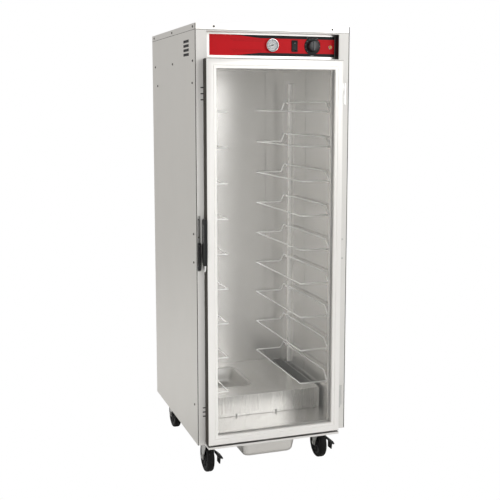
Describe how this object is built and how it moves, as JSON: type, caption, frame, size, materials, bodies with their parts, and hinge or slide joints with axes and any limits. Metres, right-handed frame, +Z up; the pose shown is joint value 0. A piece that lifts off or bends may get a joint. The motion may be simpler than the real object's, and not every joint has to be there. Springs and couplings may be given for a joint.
{
  "type": "food holding cabinet",
  "caption": "Tall heated food holding cabinet on swivel casters, with a glazed door, wire pan slides, a heater module with a water pan, and a recessed control panel.",
  "frame": {"origin": "on the floor, under the centre of the whole cabinet's box", "axes": "+Z up, -Y out of the door, +X to the right as seen from the front"},
  "size_m": [0.64, 0.789, 1.819],
  "materials": {
    "brushed_steel": "satin stainless sheet",
    "liner_steel": "satin stainless sheet",
    "bright_wire": "bright nickel-plated wire",
    "zinc_plate": "bright zinc plate",
    "painted_black": "semi-gloss black",
    "black_plastic": "fine-grained black composite",
    "printed_overlay": "printed red and black film",
    "gauge_white": "white dial in a bright rim",
    "amber_lens": "translucent amber",
    "clear_glass": "clear tempered glass",
    "gasket_rubber": "matt extruded rubber",
    "wheel_rubber": "dull black rubber"
  },
  "bodies": {
    "cabinet": {"base_frame": "zinc_plate", "left_side_panel": "brushed_steel", "right_side_panel": "brushed_steel", "back_panel": "brushed_steel", "top_cap": "brushed_steel", "front_frame": "brushed_steel", "interior_liner": "liner_steel", "control_housing": "brushed_steel", "control_overlay": "printed_overlay", "thermometer_case": "gauge_white", "indicator_lamp": "amber_lens", "latch_strike": "zinc_plate", "upper_hinge": "zinc_plate", "lower_hinge": "zinc_plate", "drip_trough": "brushed_steel", "heater_module": "liner_steel", "heating_element": "painted_black", "fan_motor": "painted_black"},
    "door": {"door_frame": "brushed_steel", "door_window": "clear_glass", "door_gasket": "gasket_rubber"},
    "handle": {"door_handle": "black_plastic"},
    "needle": {"thermometer_needle": "black_plastic"},
    "rocker": {"rocker_switch": "black_plastic"},
    "knob": {"thermostat_knob": "black_plastic"},
    "drip_pan": {"drip_pan": "brushed_steel"},
    "water_pan": {"water_pan": "brushed_steel"},
    "fan": {"fan_wheel": "zinc_plate"},
    "left_rack": {"left_front_upright": "liner_steel", "left_rear_upright": "liner_steel", "left_slide_1": "bright_wire", "left_slide_2": "bright_wire", "left_slide_3": "bright_wire", "left_slide_4": "bright_wire", "left_slide_5": "bright_wire", "left_slide_6": "bright_wire", "left_slide_7": "bright_wire", "left_slide_8": "bright_wire", "left_slide_9": "bright_wire"},
    "right_rack": {"right_front_upright": "liner_steel", "right_rear_upright": "liner_steel", "right_slide_1": "bright_wire", "right_slide_2": "bright_wire", "right_slide_3": "bright_wire", "right_slide_4": "bright_wire", "right_slide_5": "bright_wire", "right_slide_6": "bright_wire", "right_slide_7": "bright_wire", "right_slide_8": "bright_wire", "right_slide_9": "bright_wire"},
    "front_left_swivel": {"front_left_fork": "zinc_plate"},
    "front_left_wheel": {"front_left_wheel": "wheel_rubber"},
    "front_left_pedal": {"front_left_brake_pedal": "painted_black"},
    "front_right_swivel": {"front_right_fork": "zinc_plate"},
    "front_right_wheel": {"front_right_wheel": "wheel_rubber"},
    "front_right_pedal": {"front_right_brake_pedal": "painted_black"},
    "rear_left_swivel": {"rear_left_fork": "zinc_plate"},
    "rear_left_wheel": {"rear_left_wheel": "wheel_rubber"},
    "rear_right_swivel": {"rear_right_fork": "zinc_plate"},
    "rear_right_wheel": {"rear_right_wheel": "wheel_rubber"}
  },
  "joints": [
    {"name": "door_swing", "type": "hinge", "parent": "cabinet", "child": "door", "pos_m": [0.281, -0.3665, 0.907], "axis": [0, 0, 1], "range_deg": [0, 180]},
    {"name": "handle_latch", "type": "hinge", "parent": "door", "child": "handle", "pos_m": [-0.2945, -0.353, 0.972], "axis": [0, 0, -1], "range_deg": [0, 18], "stiffness_Nm_per_rad": 1},
    {"name": "drip_pan_slide", "type": "slide", "parent": "cabinet", "child": "drip_pan", "axis": [0, -1, 0], "range_m": [0, 0.16]},
    {"name": "water_pan_lift", "type": "slide", "parent": "cabinet", "child": "water_pan", "axis": [0, 0, 1], "range_m": [0, 0.09]},
    {"name": "gauge_needle", "type": "hinge", "parent": "cabinet", "child": "needle", "pos_m": [0.003, -0.3065, 1.7435], "axis": [0, 1, 0], "range_deg": [0, 230], "stiffness_Nm_per_rad": 0.001},
    {"name": "rocker_press", "type": "hinge", "parent": "cabinet", "child": "rocker", "pos_m": [0.099, -0.2945, 1.7425], "axis": [1, 0, 0], "range_deg": [-7, 7]},
    {"name": "knob_turn", "type": "hinge", "parent": "cabinet", "child": "knob", "pos_m": [0.175, -0.2985, 1.7435], "axis": [0, 1, 0], "range_deg": [0, 270]},
    {"name": "fan_spin", "type": "hinge", "parent": "cabinet", "child": "fan", "pos_m": [0.15, 0.1335, 0.237], "axis": [0, 0, 1], "continuous": true},
    {"name": "rack_left_lift", "type": "slide", "parent": "cabinet", "child": "left_rack", "axis": [0, 0, 1], "range_m": [0, 0.015]},
    {"name": "rack_right_lift", "type": "slide", "parent": "cabinet", "child": "right_rack", "axis": [0, 0, 1], "range_m": [0, 0.015]},
    {"name": "swivel_front_left", "type": "hinge", "parent": "cabinet", "child": "front_left_swivel", "pos_m": [-0.25, -0.2615, 0.1413], "axis": [0, 0, 1], "continuous": true},
    {"name": "wheel_front_left", "type": "hinge", "parent": "front_left_swivel", "child": "front_left_wheel", "pos_m": [-0.25, -0.2265, 0.0635], "axis": [1, 0, 0], "continuous": true},
    {"name": "pedal_left", "type": "hinge", "parent": "front_left_swivel", "child": "front_left_pedal", "pos_m": [-0.2285, -0.2575, 0.091], "axis": [-1, 0, 0], "range_deg": [0, 20]},
    {"name": "swivel_front_right", "type": "hinge", "parent": "cabinet", "child": "front_right_swivel", "pos_m": [0.25, -0.2615, 0.1413], "axis": [0, 0, 1], "continuous": true},
    {"name": "wheel_front_right", "type": "hinge", "parent": "front_right_swivel", "child": "front_right_wheel", "pos_m": [0.25, -0.2265, 0.0635], "axis": [1, 0, 0], "continuous": true},
    {"name": "pedal_right", "type": "hinge", "parent": "front_right_swivel", "child": "front_right_pedal", "pos_m": [0.2715, -0.2575, 0.091], "axis": [-1, 0, 0], "range_deg": [0, 20]},
    {"name": "swivel_rear_left", "type": "hinge", "parent": "cabinet", "child": "rear_left_swivel", "pos_m": [-0.25, 0.2915, 0.1413], "axis": [0, 0, 1], "continuous": true},
    {"name": "wheel_rear_left", "type": "hinge", "parent": "rear_left_swivel", "child": "rear_left_wheel", "pos_m": [-0.25, 0.3265, 0.0635], "axis": [1, 0, 0], "continuous": true},
    {"name": "swivel_rear_right", "type": "hinge", "parent": "cabinet", "child": "rear_right_swivel", "pos_m": [0.25, 0.2915, 0.1413], "axis": [0, 0, 1], "continuous": true},
    {"name": "wheel_rear_right", "type": "hinge", "parent": "rear_right_swivel", "child": "rear_right_wheel", "pos_m": [0.25, 0.3265, 0.0635], "axis": [1, 0, 0], "continuous": true}
  ]
}
